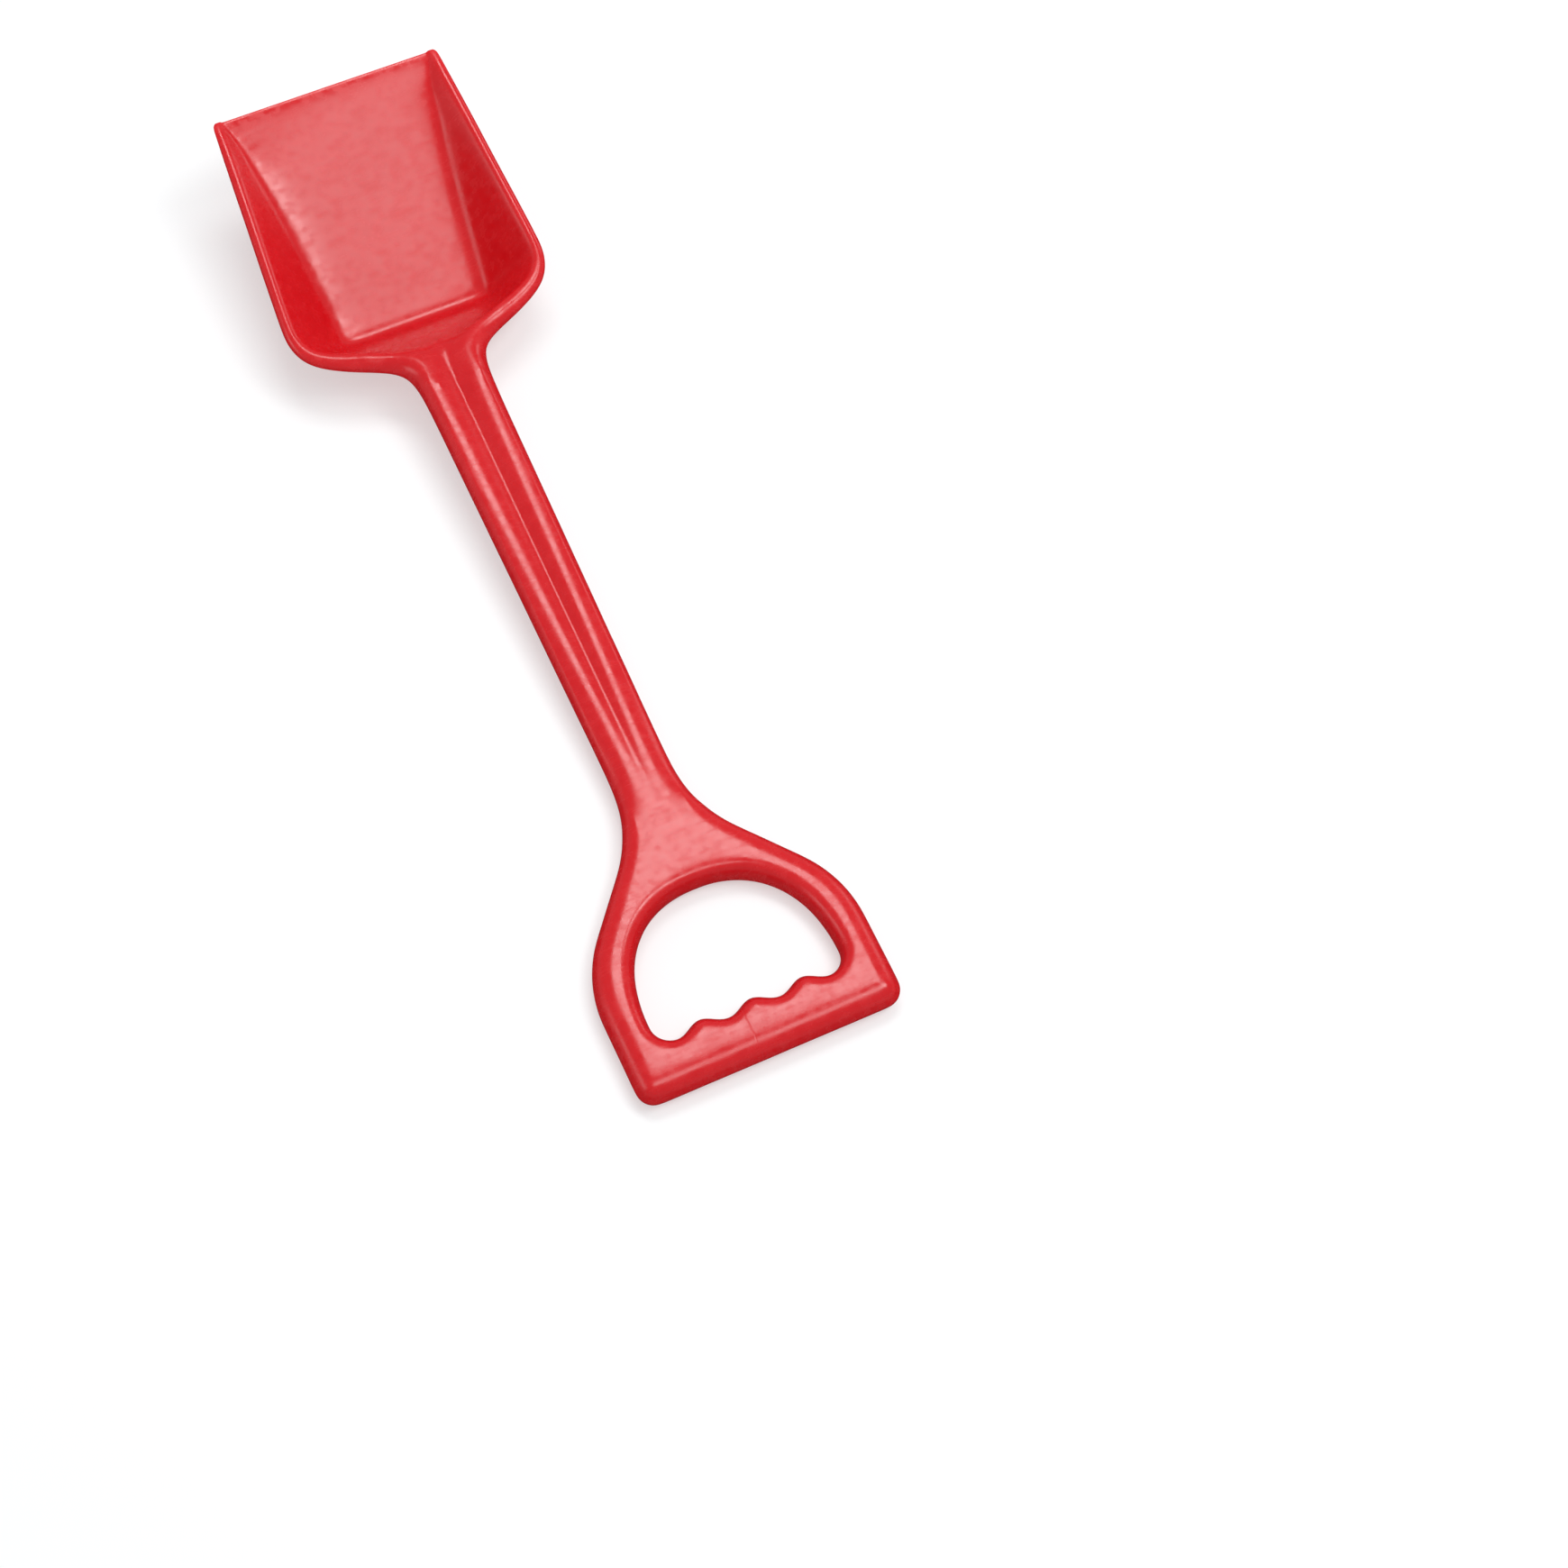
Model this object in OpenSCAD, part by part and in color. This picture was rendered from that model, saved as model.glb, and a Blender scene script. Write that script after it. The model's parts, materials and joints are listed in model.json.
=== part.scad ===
// Sand shovel for children, moulded in one piece: deep scoop, ribbed shaft and a closed handle
// with finger bumps. It lies on its back with the scoop open upwards, the handle towards -Y.
// All lengths are in millimetres.

/* [Overall] */
// Whole length, from the back edge of the grip to the lip
total_len = 500; // [350:5:700]
// Height of the lip above the ground
lip_lift = 60; // [35:1:90]
// Thickness of the handle and of the shaft
body_t = 16; // [11:0.5:22]

/* [Handle] */
// Width over both arms
handle_w = 121; // [90:1:150]
// Width of an arm beside the hand opening
arm_w = 17.3; // [11:0.1:24]
// Distance from the back edge to the far end of the hand opening
hole_end = 82.8; // [60:0.2:110]
// Depth of the grip bar at a finger hollow
grip_d = 22.7; // [16:0.1:32]
// Height of a finger bump
bump_h = 4.5; // [2:0.1:7]
// Distance between two finger bumps
bump_pitch = 23.4; // [16:0.2:30]
// Corner radius of the hand opening beside the grip bar
hole_corner_r = 9; // [5:0.5:14]
// Run of the rounding along the outer edge of the handle
edge_r = 8.1; // [5:0.1:11]
// Run of the rounding round the hand opening
inner_edge_r = 5.5; // [3:0.1:8]
// Where the arms begin to bend inwards, from the back edge
arm_len = 41.8; // [30:0.2:60]
// Radius of the bend of the arms
shoulder_r = 57; // [35:1:80]
// Slant of the shoulders against the length
shoulder_angle = 39.5; // [30:0.5:50]
// Radius of the hollow between shoulder and shaft
neck_r = 64; // [40:1:80]

/* [Shaft] */
// Width at the handle end
shaft_w = 28.4; // [22:0.5:40]
// Width at the scoop end
shaft_end_w = 33; // [24:0.2:46]
// Depth of the long hollow between the two ribs
groove_d = 4.8; // [2:0.1:6.5]
// Rise of the shaft towards the scoop, in degrees
shaft_rise = 4.6; // [2:0.1:8]

/* [Scoop] */
// Length of the scoop with its neck
scoop_len = 162; // [120:1:220]
// Length of the sloping floor, measured on the ground
floor_len = 100; // [70:1:140]
// Greatest width over the rim
scoop_w = 126.4; // [90:1:170]
// Width of the lip
lip_w = 110.4; // [80:0.2:150]
// Width of the floor at its back edge
floor_w = 71.2; // [45:0.2:100]
// Width of the floor at the lip
floor_lip_w = 99; // [60:0.5:130]
// Wall thickness
wall_t = 3.2; // [2:0.1:5]
// Thickness of the lip
lip_t = 2.2; // [1.4:0.1:4]
// Half width of the rounded rim
rim_r = 3.5; // [2:0.1:5]

/* [Hidden] */
shovel_red = [0.80, 0.07, 0.08];

mid_z = body_t / 2;
handle_half = handle_w / 2;
hole_half = handle_half - arm_w;
shaft_half = shaft_w / 2;
corner_share = 1.03;
corner_r = edge_r * corner_share;

// Outline of the handle: bend of the arm, slanted shoulder, hollow towards the shaft
bend_x = handle_half - shoulder_r * (1 - cos(shoulder_angle));
bend_y = arm_len + shoulder_r * sin(shoulder_angle);
hollow_x = shaft_half + neck_r * (1 - cos(shoulder_angle));
hollow_y = bend_y + (bend_x - hollow_x) / tan(shoulder_angle);
neck_end_y = hollow_y + neck_r * sin(shoulder_angle);
// The yoke ends where its outline is turned this far from the shaft's direction
cut_angle = 22;
handle_len = neck_end_y - neck_r * sin(cut_angle);

// The yoke starts to lift before the shaft, and the shaft then rises evenly
lift_start_share = 0.85;
lift_full_share = 1.19;
lift_start = handle_len * lift_start_share;
lift_full = handle_len * lift_full_share;
lift_ramp = lift_full - lift_start;
function lift(y) = y < lift_start ? 0
    : y < lift_full ? tan(shaft_rise) * (y - lift_start) * (y - lift_start) / (2 * lift_ramp)
    : tan(shaft_rise) * (y - lift_full + lift_ramp / 2);

// Small helpers
function unit(v) = v / max(norm(v), 0.000001);
function flip_x(v) = [-v[0], v[1], v[2]];
function reversed(l) = [for (i = [len(l) - 1:-1:0]) l[i]];
function mix(a, b, t) = a + (b - a) * t;

// Point of a soft curve that touches the middle of each side of its guide
function soft_point(g, u) =
    let (k = min(floor(u), len(g) - 3), t = u - k)
    g[k] * (1 - t) * (1 - t) / 2 + g[k + 1] * (1 / 2 + t - t * t) + g[k + 2] * t * t / 2;

// Skin over a list of closed rings, with strips across both ends
function ring_skin(rings, top_n) =
    let (m = len(rings[0]), n = len(rings))
    concat(
        [for (i = [0:n - 2]) for (j = [0:m - 1])
            each [[i * m + j, (i + 1) * m + j, (i + 1) * m + (j + 1) % m],
                  [i * m + j, (i + 1) * m + (j + 1) % m, i * m + (j + 1) % m]]],
        end_strip(0, m, top_n, false),
        end_strip((n - 1) * m, m, top_n, true));

// End face of a ring whose point j lies opposite point m - j
function end_strip(at, m, top_n, far) =
    [for (j = [0:top_n - 1])
        let (a = j, b = j + 1, c = (m - j - 1) % m, d = (m - j) % m)
        each concat(
            b == c ? [] : [far ? [at + a, at + c, at + b] : [at + a, at + b, at + c]],
            a == d ? [] : [far ? [at + a, at + d, at + c] : [at + a, at + c, at + d]])];

// The rings count y from the grip's back edge; the part's origin is under its middle
module skin(rings, top_n) {
    translate([0, -total_len / 2, 0])
    polyhedron(points = [for (r = rings) each r], faces = ring_skin(rings, top_n), convexity = 8);
}

// Outer edge of the handle and of the yoke at a distance y from the back edge
function outer_side(y) =
    y < arm_len ? [handle_half, y]
    : y < bend_y ? [handle_half - shoulder_r + sqrt(shoulder_r * shoulder_r - pow(y - arm_len, 2)), y]
    : y < hollow_y ? [bend_x - (y - bend_y) * tan(shoulder_angle), y]
    : [shaft_half + neck_r - sqrt(neck_r * neck_r - pow(max(neck_end_y - y, 0), 2)), y];

// A quarter round in a soft guide: where its middle lies and where it ends
crest_in = sqrt(2);
corner_cut = sqrt(2) - 1;

// Shaft and scoop: one soft net of guide points, row by row towards the lip
neck_y = total_len - scoop_len;
shaft_len = neck_y - handle_len;
shaft_end_half = shaft_end_w / 2;
scoop_half = scoop_w / 2;
lip_half = lip_w / 2;
floor_half = floor_w / 2;
floor_lip_half = floor_lip_w / 2;
corner_y = total_len - floor_len;
back_slope_share = 0.868;
rib_share = 0.45;
rib_run = shaft_end_half * rib_share;
ridge_share = 0.13;
neck_foot_share = 0.14;
foot_reach_share = 1.56;
foot_reach = wall_t * foot_reach_share;
crest_reach_share = 2.2;
crest_reach = rim_r * crest_reach_share;

// Rows along the shaft: three follow the hollow of the outline, the rest are shares of its
// straight part. With the depth of the long hollow and the place of its foot
half_turn = cut_angle / 4;
straight_len = neck_y - neck_end_y;
straight_shares = [0.075, 0.19, 0.36, 0.62, 0.88];
shaft_rows = concat(
    [[outer_side(handle_len)[0], handle_len],
     [shaft_half + neck_r * (1 - cos(3 * half_turn) / cos(half_turn)),
      neck_end_y - neck_r * sin(3 * half_turn) / cos(half_turn)],
     [shaft_half, neck_end_y - neck_r * tan(half_turn)]],
    [for (s = straight_shares) [mix(shaft_half, shaft_end_half, s), neck_end_y + straight_len * s]]);
shaft_groove_shares = [0, 0, 0.14, 0.36, 0.64, 0.88, 1, 1];
shaft_foot_shares = [0.3, 0.24, 0.16, 0.12, 0.1, 0.1, 0.1, 0.12];
// Shape of a rib's top: 0 as the round edge of the yoke, 1 as a narrow ridge
shaft_ridge_shares = [0, 0.2, 0.6, 0.9, 1, 1, 1, 1];
scoop_ridge_shares = [1, 1, 0.9, 0.6, 0.3, 0, 0, 0, 0, 0, 0, 0, 0, 0, 0, 0];
// Rows of the scoop. Along: share of the scoop's length at the rim and at the centre line
rim_along_shares = [0, 0.074, 0.12, 0.146, 0.168, 0.197, 0.232, 0.272,
    0.33, 0.407, 0.549, 0.722, 0.877, 0.957, 0.991, 1];
mid_along_shares = [0, 0.072, 0.132, 0.172, 0.202, 0.238, 0.298, 0.349,
    0.383, 0.425, 0.568, 0.728, 0.877, 0.951, 0.991, 1];
// Across: 0 to 1 from the shaft's side to the widest place, 1 to 2 from there to the lip
rim_across_shares = [0, 0.015, 0.06, 0.145, 0.29, 0.52, 0.755, 0.915,
    1, 1.07, 1.29, 1.56, 1.8, 1.94, 2, 2.19];
// Across: 0 to 1 from the hollow's foot to the floor's back corner, 1 to 2 from there to the lip
foot_across_shares = [0, 0, 0, 0.06, 0.4, 0.7, 0.87, 0.96, 1, 1.03, 1.14, 1.33, 1.58, 1.86, 2.04, 2.04];
// Height of the rim from the neck to the lip
rim_up_shares = [0, 0, 0, 0, 0, 0.005, 0.03, 0.065, 0.143, 0.243, 0.425, 0.648, 0.846, 0.95, 0.994, 1];
// Shape of the rim: 0 as the shaft's rib, 1 as the scoop's rim
rim_run_shares = [0, 0.05, 0.1, 0.2, 0.35, 0.5, 0.65, 0.8, 0.92, 1, 1, 1, 1, 1, 1, 1];
crest_up_shares = [0, 0, 0.1, 0.25, 0.5, 0.74, 0.88, 0.93, 0.97, 1, 1, 1, 1, 1, 1, 1];
crest_down_shares = [0, 0.05, 0.2, 0.4, 0.7, 0.9, 1, 1, 1, 1, 1, 1, 1, 1, 1, 1];
under_rim_share = 0.65;
foot_wall_share = 1.06;
wall_reach_share = 0.4;
lip_run_share = 0.5;
lip_down_share = 0.1;
lip_top_share = 0.12;
// The rim fades out towards the lip
lip_fade_shares = [1, 1, 1, 1, 1, 1, 1, 1, 1, 1, 0.97, 0.91, 0.78, 0.44, 0.22, 0.06];
// The long hollow ends blind on the brow above the back wall
scoop_groove_shares = [1, 1, 0.9, 0.25, 0, 0, 0, 0, 0, 0, 0, 0, 0, 0, 0, 0];
under_groove_shares = [1, 0.5, 0, 0, 0, 0, 0, 0, 0, 0, 0, 0, 0, 0, 0, 0];
// Guide points between the foot and the crest, as shares [across, up, across, up]
notch_shares = [[0.33, 0.35, 0.67, 0.7], [0.28, 0.48, 0.58, 0.9], [0.2, 0.66, 0.45, 1], [0.2, 0.8, 0.5, 1]];
// Softness of the crease round the floor
crease_shares = [1, 1, 1, 1, 2.6, 2.4, 2, 1.4, 1.1, 1.1, 1.15, 1.2, 1.2, 1.1, 1, 1];
// Thickness under the inner face in wall thicknesses, 0 where the shaft is solid
under_t_shares = [0, 0, 0, 0, 0, 1.35, 1.08, 1.02, 1, 1, 1, 1, 1, 0.9, 0.7, 0.1];
// The soft corner of the heel lies above its guide point by the height of this curve
heel_row = 8;
heel_back = (mid_along_shares[heel_row] - mid_along_shares[heel_row - 1]) * scoop_len
    * back_slope_share / 2;
heel_front = (mid_along_shares[heel_row + 1] - mid_along_shares[heel_row]) * scoop_len
    * lip_lift / floor_len / 2;
heel_z = wall_t - heel_back * heel_front / (heel_back + heel_front);
floor_slope = (lip_lift - heel_z) / floor_len;
shaft_row_n = len(shaft_rows);
brow_rows = 4;
solid_end = shaft_row_n + brow_rows;
row_n = shaft_row_n + len(rim_along_shares);

function in_shaft(r) = r < shaft_row_n;
function sc(l, r) = l[r - shaft_row_n];
neck_z = mid_z + lift(neck_y + scoop_len * rim_along_shares[brow_rows - 1]);
lip_mid_share = 0.21;
lip_z = lip_lift - lip_t * lip_mid_share;

function rim_x(r) = in_shaft(r) ? shaft_rows[r][0]
    : let (s = sc(rim_across_shares, r))
      s < 1 ? mix(shaft_end_half, scoop_half, s) : mix(scoop_half, lip_half, s - 1);
function rim_y(r) = in_shaft(r) ? shaft_rows[r][1] : neck_y + scoop_len * sc(rim_along_shares, r);
function rim_z(r) = r < solid_end ? mid_z + lift(rim_y(r)) : mix(neck_z, lip_z, sc(rim_up_shares, r));
function rim_point(r) = [rim_x(r), rim_y(r), rim_z(r)];

// Plan direction from the rim inwards
function rim_in(r) = r < shaft_row_n + 1 || r == row_n - 1 ? [-1, 0, 0]
    : let (d = rim_point(r + 1) - rim_point(r - 1)) unit([-d[1], d[0], 0]);
function run_at(r) = in_shaft(r) ? mix(edge_r, rib_run, (rim_y(r) - handle_len) / shaft_len)
    : mix(rib_run, rim_r, sc(rim_run_shares, r)) * mix(lip_run_share, 1, sc(lip_fade_shares, r));
function up_at(r) = in_shaft(r) ? mid_z : mix(mid_z, rim_r, sc(crest_up_shares, r)) * sc(lip_fade_shares, r);
function down_at(r) = in_shaft(r) ? mid_z
    : mix(mid_z, rim_r * under_rim_share, sc(crest_down_shares, r))
        * mix(lip_down_share, 1, sc(lip_fade_shares, r));
function mid_y(r) = in_shaft(r) ? rim_y(r) : neck_y + scoop_len * sc(mid_along_shares, r);
function groove_at(r) = groove_d * (in_shaft(r) ? shaft_groove_shares[r] : sc(scoop_groove_shares, r));
function under_groove_at(r) = groove_d * (in_shaft(r) ? shaft_groove_shares[r] : sc(under_groove_shares, r));
lip_dip_shares = [0, 0.1, 0.45, 1];
function floor_z(r, y) =
    y < corner_y ? heel_z + (corner_y - y) * back_slope_share
    : heel_z + (y - corner_y) * floor_slope
      - (wall_t - lip_t) * (r < row_n - 4 ? 0 : lip_dip_shares[r - row_n + 4]);
function mid_top(r) = r < solid_end ? mid_z + lift(mid_y(r)) + up_at(r) - groove_at(r)
    : r == row_n - 1 ? lip_z - (wall_t - lip_t) + lip_t * lip_top_share
    : floor_z(r, mid_y(r));

function spread_at(r) = run_at(r)
    * mix(corner_cut, ridge_share, in_shaft(r) ? shaft_ridge_shares[r] : sc(scoop_ridge_shares, r));

function foot_x(r) =
    let (t4 = rim_x(r) - run_at(r) - spread_at(r))
    in_shaft(r) ? t4 * shaft_foot_shares[r]
    : let (s = sc(foot_across_shares, r),
           w = (shaft_end_half - rib_run * (1 + ridge_share)) * neck_foot_share)
      s < 1 ? mix(w, floor_half, s) : mix(floor_half, floor_lip_half, s - 1);

// Guide points of the upper right half, from the centre line to the rim
function top_row(r) =
    let (o = rim_point(r), n = rim_in(r), a = run_at(r), e = spread_at(r), b = up_at(r),
         c = [0, mid_y(r), mid_top(r)], f = [foot_x(r), mid_y(r), mid_top(r)],
         t4 = o + n * (a + e) + [0, 0, b],
         wall = t4 - f, l = norm(wall), d = unit(wall), solid = r < solid_end,
         k = solid ? (in_shaft(r) ? notch_shares[0] : sc(notch_shares, r)) : [],
         soft = solid ? 1 : sc(crease_shares, r), inset = min(foot_reach * soft, f[0] / 2))
    [c, f - [inset, 0, 0], f,
     solid ? f + [wall[0] * k[0], wall[1] * k[0], wall[2] * k[1]]
         : f + d * min(foot_reach * soft, l * wall_reach_share),
     solid ? f + [wall[0] * k[2], wall[1] * k[2], wall[2] * k[3]]
         : t4 - d * min(crest_reach, l * wall_reach_share),
     t4,
     o + n * (a - e) + [0, 0, b], o + [0, 0, b * corner_cut]];

tops = [for (r = [0:row_n - 1]) top_row(r)];

// Outward direction of the inner face at a guide point
function face_up(r, j) =
    let (r0 = max(r - 1, 0), r1 = min(r + 1, row_n - 1),
         across = j == 0 ? [1, 0, 0] : tops[r][j + 1] - tops[r][j - 1],
         along = tops[r1][j] - tops[r0][j])
    unit(cross(across, along));

function bottom_row(r) =
    let (o = rim_point(r), n = rim_in(r), a = run_at(r), e = spread_at(r), b = down_at(r),
         solid = r < solid_end + 1,
         t = solid ? 0 : wall_t * sc(under_t_shares, r),
         zb = o[2] - b, g = under_groove_at(r),
         f = [foot_x(r), mid_y(r), zb + g + lift(mid_y(r)) - lift(rim_y(r))],
         b4 = o + n * (a + e) - [0, 0, b])
    concat(
        solid
            ? [[0, f[1], f[2]], f - [f[0] / 2, 0, 0], f, mix(f, b4, 1 / 3), mix(f, b4, 2 / 3), b4]
            : [for (j = [0:5])
                let (q = tops[r][j] - face_up(r, min(j, 4)) * t * (j == 2 ? foot_wall_share : 1))
                [j == 0 ? 0 : q[0], min(q[1], total_len), q[2]]],
        [o + n * (a - e) - [0, 0, b], o - [0, 0, b * corner_cut]]);

// Closed guide ring: left rim, over the top, right rim, back along the underside
function guide_ring(r) =
    let (t = tops[r], b = bottom_row(r), k = len(t) - 1)
    concat([for (j = [k:-1:1]) flip_x(t[j])], t, reversed(b), [for (j = [1:k]) flip_x(b[j])]);
guides = [for (r = [0:row_n - 1]) guide_ring(r)];
guide_m = len(guides[0]);

// Where the soft rings are read off: round the edge, then over the flat to the middle
across_edge = [0, 0.5, 1, 1.5, 2];
across_flat = [2.5, 3, 4, 4.5, 5, 5.5, 6, 7, 7.5];
across_half = concat(across_edge, across_flat);
across_top = concat(across_half, [for (i = [len(across_half) - 2:-1:1]) guide_m / 2 - across_half[i]]);
across_all = concat(across_top, [guide_m / 2], [for (i = [1:len(across_top) - 1]) across_top[i] + guide_m / 2]);
body_top_n = len(across_top);

rows_soft = concat([guides[0]], guides, [guides[row_n - 1]]);
function body_ring(u, across = across_all) =
    let (k = min(floor(u), len(rows_soft) - 3),
         mixed = [for (j = [0:guide_m - 1])
             soft_point([rows_soft[k][j], rows_soft[k + 1][j], rows_soft[k + 2][j]], u - k)],
         ring = concat([mixed[guide_m - 1]], mixed, [mixed[0]]))
    [for (v = across) soft_point(ring, v)];

shaft_end_u = shaft_row_n + 1;
scoop_end_u = row_n;
module shaft() {
    color(shovel_red)
    skin([for (u = concat([0], [for (i = [2:2 * shaft_end_u]) i / 2])) body_ring(u)], body_top_n);
}

module scoop() {
    color(shovel_red)
    skin([for (i = [3 * shaft_end_u:3 * scoop_end_u]) body_ring(i / 3)], body_top_n);
}

// Handle: rings round the hand opening
// Quarter round of an edge, from the middle plane up to the top: [run, rise] shares.
// It is the same soft curve that the ribs of the shaft have
edge_guide_shares = [[0, -corner_cut], [0, corner_cut], [1 - corner_cut, 1], [crest_in, 1]];
edge_steps = 4;
edge_round = [for (i = [0:edge_steps]) soft_point(edge_guide_shares, 2 * i / edge_steps)];
flat_steps = 4;

// Edge of the hand opening on the grip side: bumps between the fingers
function finger_y(x) = grip_d + bump_h * (1 + cos(360 * x / bump_pitch)) / 2;

// Stations of the right half: [outer edge point, opening edge point]
grip_n = 17;
corner_n = 7;
arm_n = 4;
shoulder_n = 9;
yoke_n = 9;
corner_turn_x = hole_half - hole_corner_r;
corner_turn_y = grip_d + hole_corner_r;
arch_h = hole_end - corner_turn_y;
side_bulge_share = 0.11;
function arch(t) = [hole_half * pow(cos(t), 1 - side_bulge_share),
    corner_turn_y + arch_h * pow(sin(t), 1 - side_bulge_share)];
arm_arch = 10;
shoulder_arch = 52;
yoke_arch = 78;
// Where the square corner of the grip starts to turn, on the way round the opening's corner
turn_share = 0.4;

// Columns of the face between yoke and shaft, from the rounded edge to the middle
cut_x = [for (v = across_flat) -body_ring(0, [v])[0][0]];
cut_n = len(cut_x);

stations = concat(
    [for (i = [0:grip_n - 1]) let (x = corner_turn_x * i / grip_n)
        [[x, 0], [x, finger_y(x)]]],
    [for (i = [0:corner_n - 1]) let (t = 90 * i / corner_n, s = i / corner_n)
        [s < turn_share ? [mix(corner_turn_x, handle_half - corner_r, s / turn_share), 0]
            : let (q = 90 * (s - turn_share) / (1 - turn_share))
              [handle_half - corner_r * (1 - sin(q)), corner_r * (1 - cos(q))],
         [corner_turn_x + hole_corner_r * sin(t), corner_turn_y - hole_corner_r * cos(t)]]],
    [for (i = [0:arm_n - 1]) let (s = i / arm_n)
        [outer_side(mix(corner_r, arm_len, s)), arch(arm_arch * s)]],
    [for (i = [0:shoulder_n - 1]) let (s = i / shoulder_n)
        [outer_side(mix(arm_len, bend_y, s)), arch(mix(arm_arch, shoulder_arch, s))]],
    [for (i = [0:yoke_n]) let (s = i / yoke_n)
        [outer_side(mix(bend_y, handle_len, s)), arch(mix(shoulder_arch, yoke_arch, s))]],
    [for (i = [1:cut_n]) [[cut_x[i - 1], handle_len], arch(mix(yoke_arch, 90, i / cut_n))]]);
half_n = len(stations);
corner_station = half_n - 1 - cut_n;

// Inward normals along a chain of plan points
function chain_normal(c, i) =
    let (d = c[min(i + 1, len(c) - 1)] - c[max(i - 1, 0)], l = max(norm(d), 0.000001))
    [-d[1], d[0]] / l;
outer_chain = [for (s = stations) s[0]];
inner_chain = [for (s = stations) s[1]];
function outer_normal(i) = i == 0 ? [0, 1] : i >= corner_station ? [-1, 0] : chain_normal(outer_chain, i);
function inner_normal(i) = i == 0 ? [0, -1] : i == half_n - 1 ? [0, 1] : -chain_normal(inner_chain, i);

// Upper half of a handle ring, from the outer edge over the top to the opening
function handle_top(i) =
    let (o = outer_chain[i], h = inner_chain[i], no = outer_normal(i), nh = inner_normal(i),
         cut = i > corner_station,
         oc = cut ? o : o + no * edge_r, hc = h + nh * inner_edge_r)
    concat(
        [for (e = edge_round) let (p = cut ? o : o + no * edge_r * e[0]) [p[0], p[1], mid_z * e[1]]],
        [for (k = [1:flat_steps - 1]) let (p = mix(oc, hc, k / flat_steps)) [p[0], p[1], mid_z]],
        [for (e = reversed(edge_round)) let (p = h + nh * inner_edge_r * e[0]) [p[0], p[1], mid_z * e[1]]]);

// Whole ring: the underside mirrors the top, and both follow the lift of the yoke
function handle_ring(i, side) =
    let (t = handle_top(i), n = len(t))
    [for (p = concat(t, [for (k = [n - 2:-1:1]) [t[k][0], t[k][1], -t[k][2]]]))
        [side * p[0], p[1], p[2] + mid_z + lift(p[1])]];

grip_end = grip_n + corner_n - 1;
arm_end = grip_n + corner_n + arm_n + shoulder_n - 2;
handle_top_n = 2 * edge_steps + flat_steps;

module grip_bar() {
    color(shovel_red)
    skin(concat([for (i = [grip_end:-1:1]) handle_ring(i, 1)], [for (i = [0:grip_end]) handle_ring(i, -1)]),
        handle_top_n);
}

module arm_right() {
    color(shovel_red) skin([for (i = [arm_end:-1:grip_end]) handle_ring(i, 1)], handle_top_n);
}

module arm_left() {
    color(shovel_red) skin([for (i = [grip_end:arm_end]) handle_ring(i, -1)], handle_top_n);
}

module yoke() {
    color(shovel_red)
    skin(concat([for (i = [arm_end:half_n - 1]) handle_ring(i, -1)],
                [for (i = [half_n - 2:-1:arm_end]) handle_ring(i, 1)]), handle_top_n);
}

scoop();
shaft();
yoke();
arm_right();
arm_left();
grip_bar();
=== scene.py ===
import json
import math
import bpy
import bmesh
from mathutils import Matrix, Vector

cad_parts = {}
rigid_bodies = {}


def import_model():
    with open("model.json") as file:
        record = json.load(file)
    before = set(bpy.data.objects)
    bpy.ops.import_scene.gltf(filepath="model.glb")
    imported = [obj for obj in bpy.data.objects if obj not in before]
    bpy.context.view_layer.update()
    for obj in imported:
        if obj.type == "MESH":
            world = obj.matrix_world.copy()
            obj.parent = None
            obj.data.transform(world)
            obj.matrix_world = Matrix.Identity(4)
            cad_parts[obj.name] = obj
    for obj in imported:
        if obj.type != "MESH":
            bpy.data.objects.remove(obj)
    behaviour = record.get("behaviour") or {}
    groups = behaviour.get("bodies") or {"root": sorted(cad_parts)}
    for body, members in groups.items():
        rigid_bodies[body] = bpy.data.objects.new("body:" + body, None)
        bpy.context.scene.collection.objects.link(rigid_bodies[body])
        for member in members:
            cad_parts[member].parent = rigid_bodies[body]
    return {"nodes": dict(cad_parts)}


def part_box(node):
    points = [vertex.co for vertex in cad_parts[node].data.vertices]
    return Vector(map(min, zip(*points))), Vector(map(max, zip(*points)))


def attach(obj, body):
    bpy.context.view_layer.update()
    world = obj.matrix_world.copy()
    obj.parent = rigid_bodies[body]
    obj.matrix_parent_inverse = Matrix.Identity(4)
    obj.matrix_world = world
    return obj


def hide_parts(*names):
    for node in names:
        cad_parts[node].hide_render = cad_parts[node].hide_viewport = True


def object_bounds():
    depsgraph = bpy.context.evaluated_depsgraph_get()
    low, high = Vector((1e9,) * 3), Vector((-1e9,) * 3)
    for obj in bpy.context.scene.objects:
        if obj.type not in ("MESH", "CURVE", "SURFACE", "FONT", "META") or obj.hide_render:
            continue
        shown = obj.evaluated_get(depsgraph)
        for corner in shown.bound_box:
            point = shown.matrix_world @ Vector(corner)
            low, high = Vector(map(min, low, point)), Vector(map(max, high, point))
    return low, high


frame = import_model()
cadLow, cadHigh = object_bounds()
gripEnd, lip = cadLow[1], cadHigh[1]      # the shovel lies along Y, its lip in front


def selectOnly(*objects):
    bpy.ops.object.select_all(action="DESELECT")
    for o in objects:
        o.select_set(True)
    bpy.context.view_layer.objects.active = objects[0]


def applyModifiers(piece):
    selectOnly(piece)
    for modifier in list(piece.modifiers):
        bpy.ops.object.modifier_apply(modifier=modifier.name)


def ease(value, start, end):      # 0 at the start, 1 at the end, soft at both
    t = min(1.0, max(0.0, (value - start) / (end - start)))
    return t * t * (3 - 2 * t)


def within(value, start, full, fade, end):      # 1 from full to fade, 0 past start and end
    return ease(value, start, full) * ease(value, end, fade)


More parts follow.
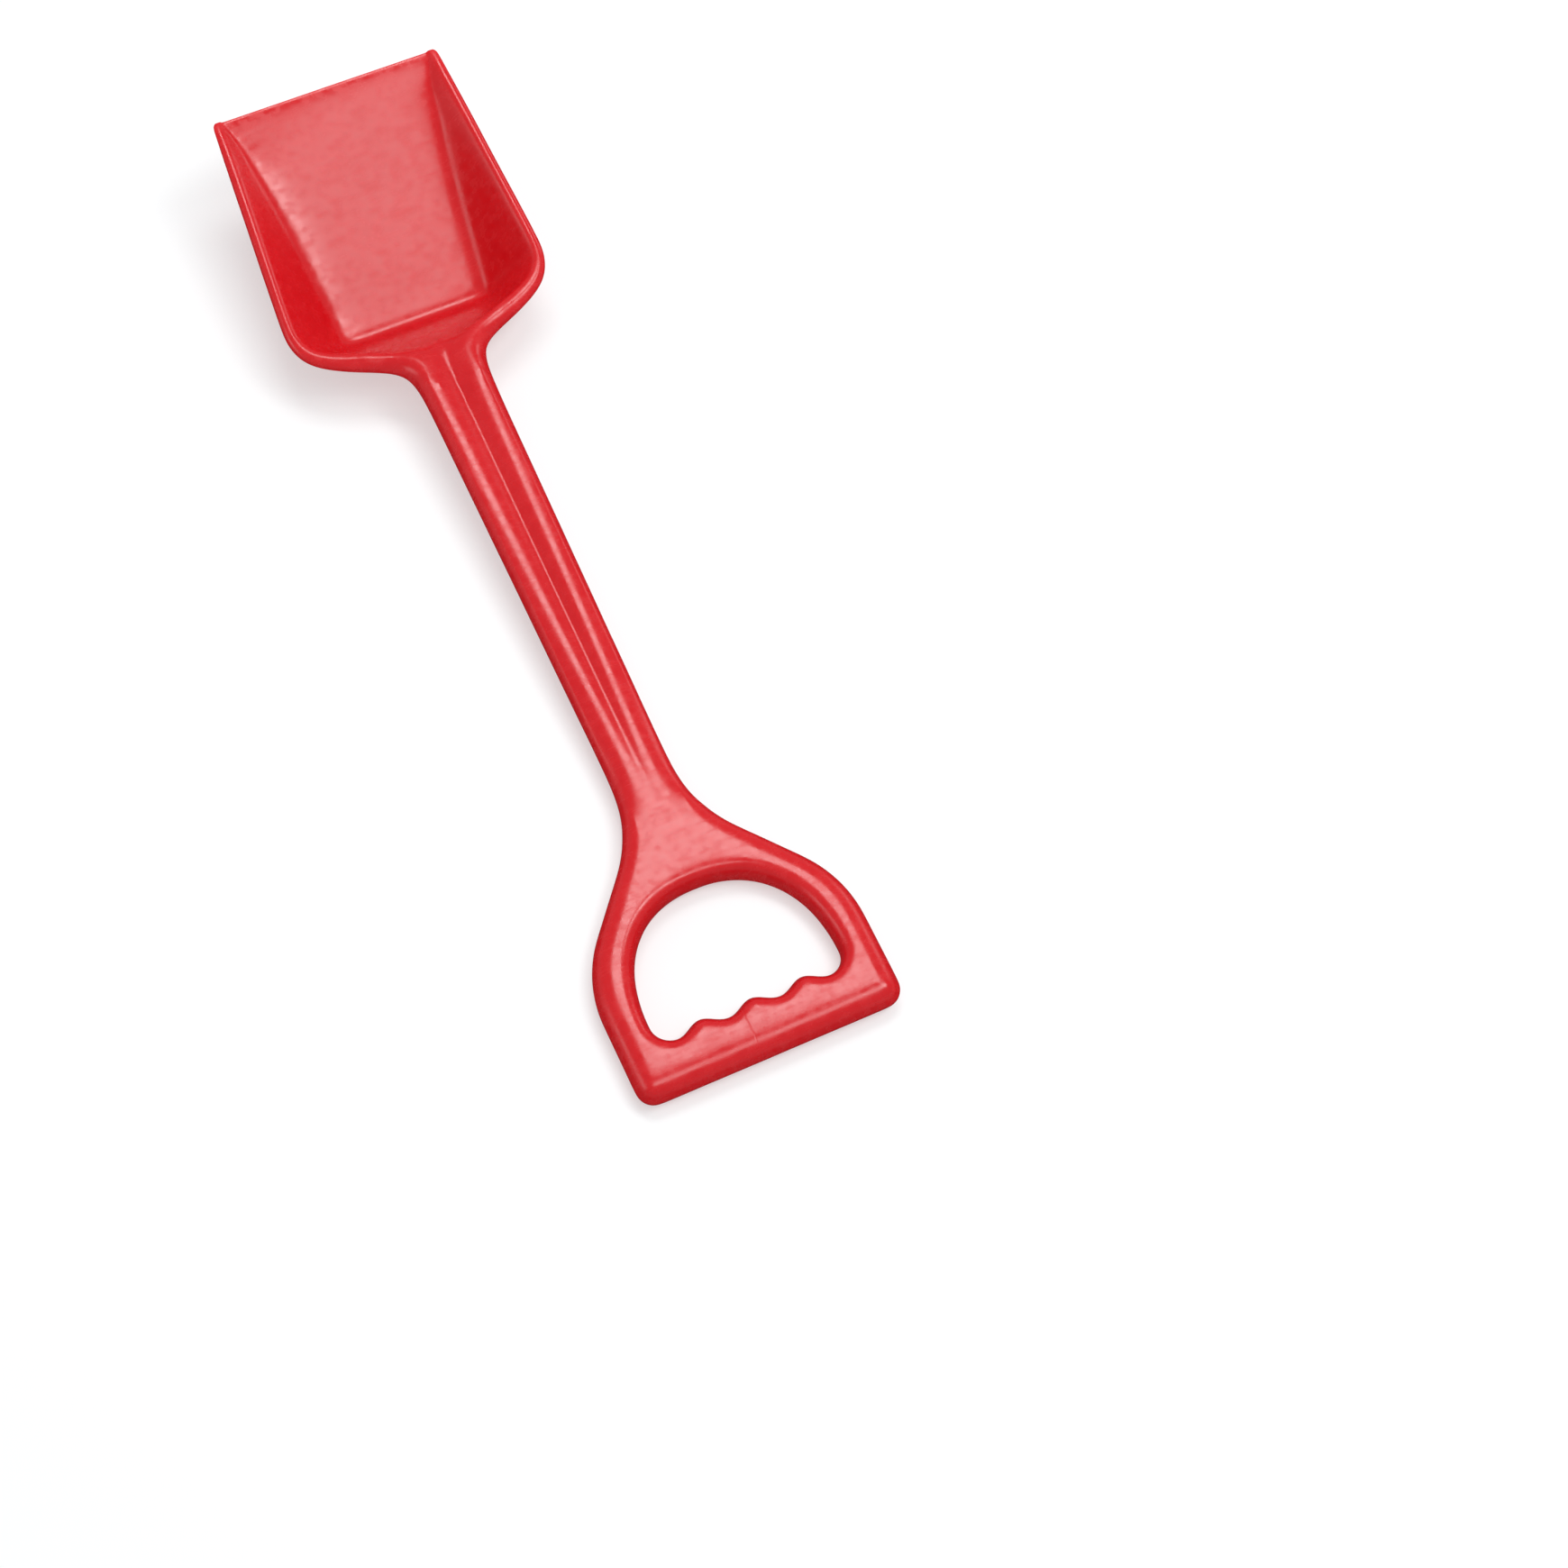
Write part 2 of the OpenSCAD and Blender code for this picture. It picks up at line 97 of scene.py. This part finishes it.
# the camera stands where the photographer's stood
photoCamera = {
    "place": (-0.22002, -0.64953, 1.21542),     # m
    "turn": (25.631, -1.639, -24.875),          # degrees
    "lens": 71.25,            # mm
    "sensor": 36.0,
}


def makeCamera(settings):
    data = bpy.data.cameras.new("photo_camera")
    data.lens = settings["lens"]
    data.sensor_width = settings["sensor"]
    camera = bpy.data.objects.new("photo_camera", data)
    bpy.context.scene.collection.objects.link(camera)
    camera.location = settings["place"]
    camera.rotation_euler = [math.radians(a) for a in settings["turn"]]
    bpy.context.scene.camera = camera
    print("camera: lens", settings["lens"], "mm")


studio = {
    "floorColour": (0.48, 0.50, 0.50),
    "floorRoughness": 0.9,
    "floorGlow": 0.475,       # a sheet of opal acrylic lit from below keeps the shadows pale
    "floorSize": 60.0,        # m
    "surround": (0.99, 0.99, 1.02),
    "surroundStrength": 0.44,
    "belowStrength": 0.04,    # what gloss on the side walls sees below the horizon
    "horizon": (-0.12, -0.04),      # the surround fades in between these heights of view
    "aim": (0.0, 0.05, 0.0),
    "distance": 2.2,          # m, from the aim to each softbox
    "lights": [
        # name, azimuth from +X, elevation, width and height in m, radiance
        ("backBox", 58, 70, (1.10, 0.66), 7.3),
        ("frontBox", 286, 68, (0.95, 0.60), 4.1),
        ("creaseBox", 334, 62, (0.76, 0.56), 9.6),
        ("rightPanel", 18, 17, (0.70, 0.60), 1.6),
        ("leftPanel", 178, 26, (1.10, 0.80), 1.6),
    ],
}


def makeFloor(settings):
    bpy.ops.object.select_all(action="DESELECT")
    bpy.ops.mesh.primitive_plane_add(size=settings["floorSize"])
    floor = bpy.context.object
    floor.name = "studio_floor"
    paper = bpy.data.materials.new("studio_paper")
    paper.use_nodes = True
    shader = paper.node_tree.nodes["Principled BSDF"]
    shader.inputs["Base Color"].default_value = (*settings["floorColour"], 1)
    shader.inputs["Roughness"].default_value = settings["floorRoughness"]
    shader.inputs["Emission Color"].default_value = (1, 1, 1, 1)
    shader.inputs["Emission Strength"].default_value = settings["floorGlow"]
    floor.data.materials.append(paper)
    floor.visible_glossy = False    # the side walls stay deep red, with no white floor in them


def makeSurround(settings):
    world = bpy.data.worlds.new("studio_surround")
    bpy.context.scene.world = world
    world.use_nodes = True
    nodes, links = world.node_tree.nodes, world.node_tree.links
    surround = nodes["Background"]
    surround.inputs["Color"].default_value = (*settings["surround"], 1)
    direction = nodes.new("ShaderNodeTexCoord")
    height = nodes.new("ShaderNodeSeparateXYZ")
    horizon = nodes.new("ShaderNodeMapRange")
    links.new(direction.outputs["Generated"], height.inputs[0])
    links.new(height.outputs["Z"], horizon.inputs["Value"])
    horizon.inputs["From Min"].default_value = settings["horizon"][0]
    horizon.inputs["From Max"].default_value = settings["horizon"][1]
    horizon.inputs["To Min"].default_value = settings["belowStrength"]
    horizon.inputs["To Max"].default_value = settings["surroundStrength"]
    links.new(horizon.outputs[0], surround.inputs["Strength"])


def makeLights(settings):
    aim = Vector(settings["aim"])
    for name, azimuth, elevation, size, radiance in settings["lights"]:
        data = bpy.data.lights.new(name, "AREA")
        data.shape = "RECTANGLE"
        data.size, data.size_y = size
        data.energy = radiance * math.pi * size[0] * size[1]
        lamp = bpy.data.objects.new(name, data)
        bpy.context.scene.collection.objects.link(lamp)
        turn, rise = math.radians(azimuth), math.radians(elevation)
        away = Vector((math.cos(rise) * math.cos(turn), math.cos(rise) * math.sin(turn),
                       math.sin(rise)))
        lamp.location = aim + settings["distance"] * away
        lamp.rotation_euler = away.to_track_quat("Z", "Y").to_euler()


def makeStudio(settings):
    makeFloor(settings)
    makeSurround(settings)
    makeLights(settings)
    print("studio: floor and", len(settings["lights"]), "lights")


# the whole shovel is one moulding: the CAD regions are stitched into one skin
moulding = {
    "name": "shovel_moulding",
    "marksPerMetre": 20000,   # two regions share a corner that falls on the same mark in both
    "mergeGap": 0.00002,      # m, how close such corners must lie to be merged
    "cutGap": 0.00001,        # m, how close to the yoke's end an inner face must lie
    "quadFold": 60,           # degrees, the most that a pair of triangles may fold as one quad
    "quadSkew": 100,          # degrees
    "smoothLevels": 2,
    # softened zones on the side that faces up: passes of smoothing, and how far back from the
    # lip each one starts, is full, fades and ends, m
    "facesUp": 0.1,
    "softenFactor": 0.9,
    "ribs": {"passes": 480, "back": (0.134, 0.152, 0.380, 0.415), "across": (0.0120, 0.0095)},
    "brow": {"passes": 300, "back": (0.110, 0.120, 0.138, 0.152), "across": (0.034, 0.020)},
    "creases": {"passes": 75, "back": (0.004, 0.014, 0.110, 0.122), "underRim": (0.004, 0.009)},
    "handle": {"passes": 36, "back": (0.400, 0.425), "facing": (0.1, 0.4)},
    "rimStart": (0.115, 0.0334),    # m, back and up: where the rim leaves the brow
    "rimClimb": 0.242,        # and how steeply it climbs to the lip
    "sinkSize": 0.030,        # m, breadth of the slow waves left by cooling
    "sinkDepth": 0.00016,     # m
    # small beads where the ribs and the groove end at the neck: across, and back from the lip, m
    "beads": [(-0.0081, 0.1547), (0.0120, 0.1552), (0.0016, 0.1556), (0.0015, 0.1674),
              (0.0018, 0.1295)],
    "beadRadius": 0.0013,
    "beadHeight": 0.00035,
    "beadEdge": 0.00002,      # m, a bead is left off where it would be lower than this
    "beadFacing": 0.3,
}


def stitchRegions(settings):
    def mark(co):
        return tuple(round(v * settings["marksPerMetre"]) for v in co)

    nodes = list(frame["nodes"].values())
    met = {}                  # which regions have a corner at each mark
    for index, node in enumerate(nodes):
        for corner in node.data.vertices:
            met.setdefault(mark(corner.co), set()).add(index)
    shared = {place for place, owners in met.items() if len(owners) > 1}
    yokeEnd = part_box("yoke")[1].y

    selectOnly(*nodes)
    bpy.ops.object.duplicate()
    copies = list(bpy.context.selected_objects)
    bpy.context.view_layer.objects.active = copies[0]
    bpy.ops.object.parent_clear(type="CLEAR_KEEP_TRANSFORM")
    bpy.ops.object.join()
    piece = bpy.context.view_layer.objects.active
    piece.name = settings["name"]
    piece.data.name = settings["name"]
    bpy.ops.object.transform_apply(location=True, rotation=True, scale=True)

    # merge where the regions meet, and take out the caps between them
    bpy.ops.object.mode_set(mode="EDIT")
    bpy.ops.mesh.select_all(action="SELECT")
    bpy.ops.mesh.remove_doubles(threshold=settings["mergeGap"])
    bpy.ops.mesh.select_all(action="DESELECT")
    mesh = bmesh.from_edit_mesh(piece.data)
    inner = 0
    for face in mesh.faces:
        onRing = all(mark(c.co) in shared for c in face.verts)
        onCut = all(abs(c.co.y - yokeEnd) < settings["cutGap"] for c in face.verts)
        if onRing or onCut:
            face.select = True
            inner += 1
    bmesh.update_edit_mesh(piece.data)
    bpy.ops.mesh.delete(type="FACE")
    bpy.ops.mesh.select_all(action="DESELECT")
    bpy.ops.mesh.select_mode(type="VERT")
    bpy.ops.mesh.select_loose()
    bpy.ops.mesh.delete(type="VERT")
    bpy.ops.mesh.select_all(action="SELECT")
    bpy.ops.mesh.tris_convert_to_quads(face_threshold=math.radians(settings["quadFold"]),
                                       shape_threshold=math.radians(settings["quadSkew"]))
    bpy.ops.object.mode_set(mode="OBJECT")
    kinds = [len(p.vertices) for p in piece.data.polygons]
    print("moulding:", inner, "inner faces gone,", kinds.count(4), "quads,",
          kinds.count(3), "triangles")

    mesh = bmesh.new()
    mesh.from_mesh(piece.data)
    print("moulding: open edges", sum(1 for e in mesh.edges if len(e.link_faces) != 2))
    mesh.free()
    return piece


def softenSkin(piece, settings):
    # the mould softened the shaft's ribs, the brow, the inside of the scoop and the handle
    ribs, brow, creases, handle = (settings[k] for k in ("ribs", "brow", "creases", "handle"))
    rimBack, rimUp = settings["rimStart"]
    groups = {k: piece.vertex_groups.new(name=k) for k in ("ribs", "brow", "creases", "handle")}
    for corner in piece.data.vertices:
        across, back, facing = abs(corner.co.x), lip - corner.co.y, corner.normal.z
        if facing < settings["facesUp"]:
            continue
        underRim = rimUp + settings["rimClimb"] * (rimBack - back) - corner.co.z
        weights = {
            "ribs": within(back, *ribs["back"]) * ease(across, *ribs["across"]),
            "brow": within(back, *brow["back"]) * ease(across, *brow["across"]),
            "creases": within(back, *creases["back"]) * ease(underRim, *creases["underRim"]),
            "handle": ease(back, *handle["back"]) * ease(facing, *handle["facing"]),
        }
        for zone, weight in weights.items():
            if weight > 0:
                groups[zone].add([corner.index], weight, "REPLACE")
    for zone in groups:
        soften = piece.modifiers.new(zone, "SMOOTH")
        soften.factor = settings["softenFactor"]
        soften.iterations = settings[zone]["passes"]
        soften.vertex_group = zone
    applyModifiers(piece)
    piece.vertex_groups.clear()


def sinkSurface(piece, settings):
    waves = bpy.data.textures.new("sink_waves", "CLOUDS")
    waves.noise_scale = settings["sinkSize"]
    waves.noise_depth = 1
    sink = piece.modifiers.new("sink", "DISPLACE")
    sink.texture = waves
    sink.texture_coords = "LOCAL"
    sink.strength = settings["sinkDepth"]
    sink.mid_level = 1.0      # only inwards, so the skin stays inside the solids' box
    applyModifiers(piece)


def raiseBeads(piece, settings):
    for corner in piece.data.vertices:
        if corner.normal.z < settings["beadFacing"]:
            continue
        lift = 0.0
        for across, back in settings["beads"]:
            away = math.hypot(corner.co.x - across, lip - corner.co.y - back)
            lift += settings["beadHeight"] * math.exp(-(away / settings["beadRadius"]) ** 2)
        if lift > settings["beadEdge"]:
            corner.co += lift * corner.normal
    piece.data.update()


def makeMoulding(settings):
    piece = stitchRegions(settings)
    smooth = piece.modifiers.new("smooth", "SUBSURF")
    smooth.levels = smooth.render_levels = settings["smoothLevels"]
    applyModifiers(piece)
    softenSkin(piece, settings)
    sinkSurface(piece, settings)
    raiseBeads(piece, settings)
    bpy.ops.object.shade_smooth()
    piece.data.materials.clear()
    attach(piece, "root")
    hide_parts(*frame["nodes"].keys())
    print("moulding:", len(piece.data.polygons), "faces in the finished skin")
    return piece


redPlastic = {
    "name": "red_plastic",
    "baseColour": (0.60, 0.0042, 0.0085),
    "paleColour": (0.63, 0.0085, 0.0130),
    "wornColour": (0.70, 0.060, 0.062),
    "roughness": (0.17, 0.32),
    "ior": 1.49,
    "glowWeight": 0.30,       # light soaks into polyolefin, most of all the red
    "glowRadius": (1.0, 0.12, 0.08),
    "glowDepth": 0.004,       # m
    # soft clouds of pigment, and blotches of a few millimetres in the gloss
    "clouds": {"Scale": 26.0, "Detail": 4.0, "Roughness": 0.6},
    "mottle": {"Scale": 240.0, "Detail": 2.0, "Roughness": 0.5},
    "mottleDepth": 0.000007,  # m, as all depths below
    "pigmentMix": (0.6, 0.4),       # shares of clouds and mottle
    "pigmentRange": (0.40, 0.62),
    # fine cooling streaks across the shovel
    "streaks": {"Scale": 4.0, "Detail": 5.0, "Roughness": 0.62, "Distortion": 0.4},
    "streakStretch": (18.0, 170.0, 60.0),
    "streakDepth": 0.000012,
    "glossMix": (0.45, 0.55),       # shares of streaks and mottle
    "glossRange": (0.38, 0.62),
    # orange peel
    "grain": {"Scale": 1500.0, "Detail": 2.0, "Roughness": 0.5},
    "grainDepth": 0.0000006,
    # hair scratches from sand: the edges of long thin cells, in patches
    "cellScale": 1.3,
    "scratchTurn": (0.2, 0.1, 0.7),       # radians
    "scratchStretch": (9.0, 140.0, 60.0),
    "scratchWidth": 0.012,          # as a share of a cell
    "scratchPatches": (0.50, 0.62),
    "scratchDepth": 0.000010,
    "scratchDull": 0.10,
    # weld line on the grip where two streams of plastic met, wandering a little
    "weldPlace": -0.006,            # m, across the grip's flat top
    "weldWander": 0.0016,
    "weldHalf": 0.00045,
    "weldFade": (0.0238, 0.0278),   # m from the end of the grip
    "weldDepth": 0.000050,
    "weldDull": 0.10,
    # parting line round the handle and the shaft, where the halves of the mould met
    "partingHalf": 0.00022,
    "partingFade": (0.200, 0.170),  # m back from the lip
    "partingDepth": 0.000045,
    # wear at the lip, paler and duller
    "wearReach": 0.008,
    "wearPatches": (0.42, 0.70),
    "wearMost": 0.8,
    "wearTint": 0.3,
    "wearDull": 0.12,
}


def makeRedPlastic(settings):
    material = bpy.data.materials.new(settings["name"])
    material.use_nodes = True
    tree = material.node_tree
    tree.nodes.clear()

    def node(kind, **values):
        made = tree.nodes.new("ShaderNode" + kind)
        for key, value in values.items():
            if hasattr(made, key):
                setattr(made, key, value)
            else:
                made.inputs[key].default_value = value
        return made

    place = node("TexCoord").outputs["Object"]
    axes = node("SeparateXYZ")
    tree.links.new(place, axes.inputs[0])
    x, y, z = (axes.outputs[k] for k in range(3))

    def calculate(operation, first, second=0.0):
        made = node("Math", operation=operation)
        for socket, value in zip(made.inputs, (first, second)):
            if isinstance(value, (int, float)):
                socket.default_value = value
            else:
                tree.links.new(value, socket)
        return made.outputs[0]

    def times(first, second):
        return calculate("MULTIPLY", first, second)

    def plus(first, second):
        return calculate("ADD", first, second)

    def fromLine(value, line):      # distance to a line, on either side of it
        return calculate("ABSOLUTE", calculate("SUBTRACT", value, line))

    def band(value, start, end, low=0.0, high=1.0):
        made = node("MapRange")
        tree.links.new(value, made.inputs["Value"])
        made.inputs["From Min"].default_value = start
        made.inputs["From Max"].default_value = end
        made.inputs["To Min"].default_value = low
        made.inputs["To Max"].default_value = high
        return made.outputs[0]

    def blend(factor, first, second):
        made = node("Mix", data_type="RGBA")
        tree.links.new(factor, made.inputs[0])
        sockets = [i for i in made.inputs if i.type == "RGBA"]
        for socket, colour in zip(sockets, (first, second)):
            if isinstance(colour, tuple):
                socket.default_value = (*colour, 1)
            else:
                tree.links.new(colour, socket)
        return [o for o in made.outputs if o.type == "RGBA"][0]

    def stretched(scale, turn=(0, 0, 0)):
        made = node("Mapping")
        made.inputs["Rotation"].default_value = turn
        made.inputs["Scale"].default_value = scale
        tree.links.new(place, made.inputs["Vector"])
        return made.outputs[0]

    def noise(values, where=place):
        made = node("TexNoise", **values)
        tree.links.new(where, made.inputs["Vector"])
        return made.outputs[0]

    clouds = noise(settings["clouds"])
    mottle = noise(settings["mottle"])
    streaks = noise(settings["streaks"], stretched(settings["streakStretch"]))
    grain = noise(settings["grain"])

    cells = node("TexVoronoi", feature="DISTANCE_TO_EDGE", Scale=settings["cellScale"])
    tree.links.new(stretched(settings["scratchStretch"], settings["scratchTurn"]),
                   cells.inputs["Vector"])
    scratches = band(cells.outputs["Distance"], 0.0, settings["scratchWidth"], 1.0, 0.0)
    scratches = times(scratches, band(clouds, *settings["scratchPatches"]))

    wander = times(calculate("SUBTRACT", mottle, 0.5), settings["weldWander"])
    weld = fromLine(plus(x, wander), settings["weldPlace"])
    weld = band(weld, 0.0, settings["weldHalf"], 1.0, 0.0)
    weldStart, weldEnd = (gripEnd + reach for reach in settings["weldFade"])
    weld = times(weld, band(y, weldStart, weldEnd, 1.0, 0.0))

    parting = fromLine(z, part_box("grip_bar")[1].z / 2)
    parting = band(parting, 0.0, settings["partingHalf"], 1.0, 0.0)
    fadeStart, fadeEnd = (lip - back for back in settings["partingFade"])
    parting = times(parting, band(y, fadeStart, fadeEnd, 1.0, 0.0))

    nearLip = band(y, lip - settings["wearReach"], lip)
    worn = times(nearLip, band(mottle, *settings["wearPatches"], 0.0, settings["wearMost"]))

    cloudShare, mottleShare = settings["pigmentMix"]
    pigment = plus(times(clouds, cloudShare), times(mottle, mottleShare))
    colour = blend(band(pigment, *settings["pigmentRange"]),
                   settings["baseColour"], settings["paleColour"])
    colour = blend(times(worn, settings["wearTint"]), colour, settings["wornColour"])

    streakShare, mottleShare = settings["glossMix"]
    gloss = plus(times(streaks, streakShare), times(mottle, mottleShare))
    rough = band(gloss, *settings["glossRange"], *settings["roughness"])
    for mark, amount in ((scratches, settings["scratchDull"]), (worn, settings["wearDull"]),
                         (weld, settings["weldDull"])):
        rough = plus(rough, times(mark, amount))

    height = times(grain, settings["grainDepth"])
    for mark, depth in ((mottle, settings["mottleDepth"]), (streaks, settings["streakDepth"]),
                        (scratches, -settings["scratchDepth"]), (weld, -settings["weldDepth"]),
                        (parting, settings["partingDepth"])):
        height = plus(height, times(mark, depth))
    bump = node("Bump", Strength=1.0, Distance=1.0)
    tree.links.new(height, bump.inputs["Height"])

    shader = node("BsdfPrincipled")
    shader.inputs["IOR"].default_value = settings["ior"]
    shader.inputs["Subsurface Weight"].default_value = settings["glowWeight"]
    shader.inputs["Subsurface Radius"].default_value = settings["glowRadius"]
    shader.inputs["Subsurface Scale"].default_value = settings["glowDepth"]
    tree.links.new(colour, shader.inputs["Base Color"])
    tree.links.new(rough, shader.inputs["Roughness"])
    tree.links.new(bump.outputs["Normal"], shader.inputs["Normal"])
    output = node("OutputMaterial")
    tree.links.new(shader.outputs["BSDF"], output.inputs["Surface"])
    print("red plastic:", len(tree.nodes), "nodes")
    return material


makeCamera(photoCamera)
makeStudio(studio)
shovel = makeMoulding(moulding)
shovel.data.materials.append(makeRedPlastic(redPlastic))

bpy.context.scene.view_settings.view_transform = "Standard"
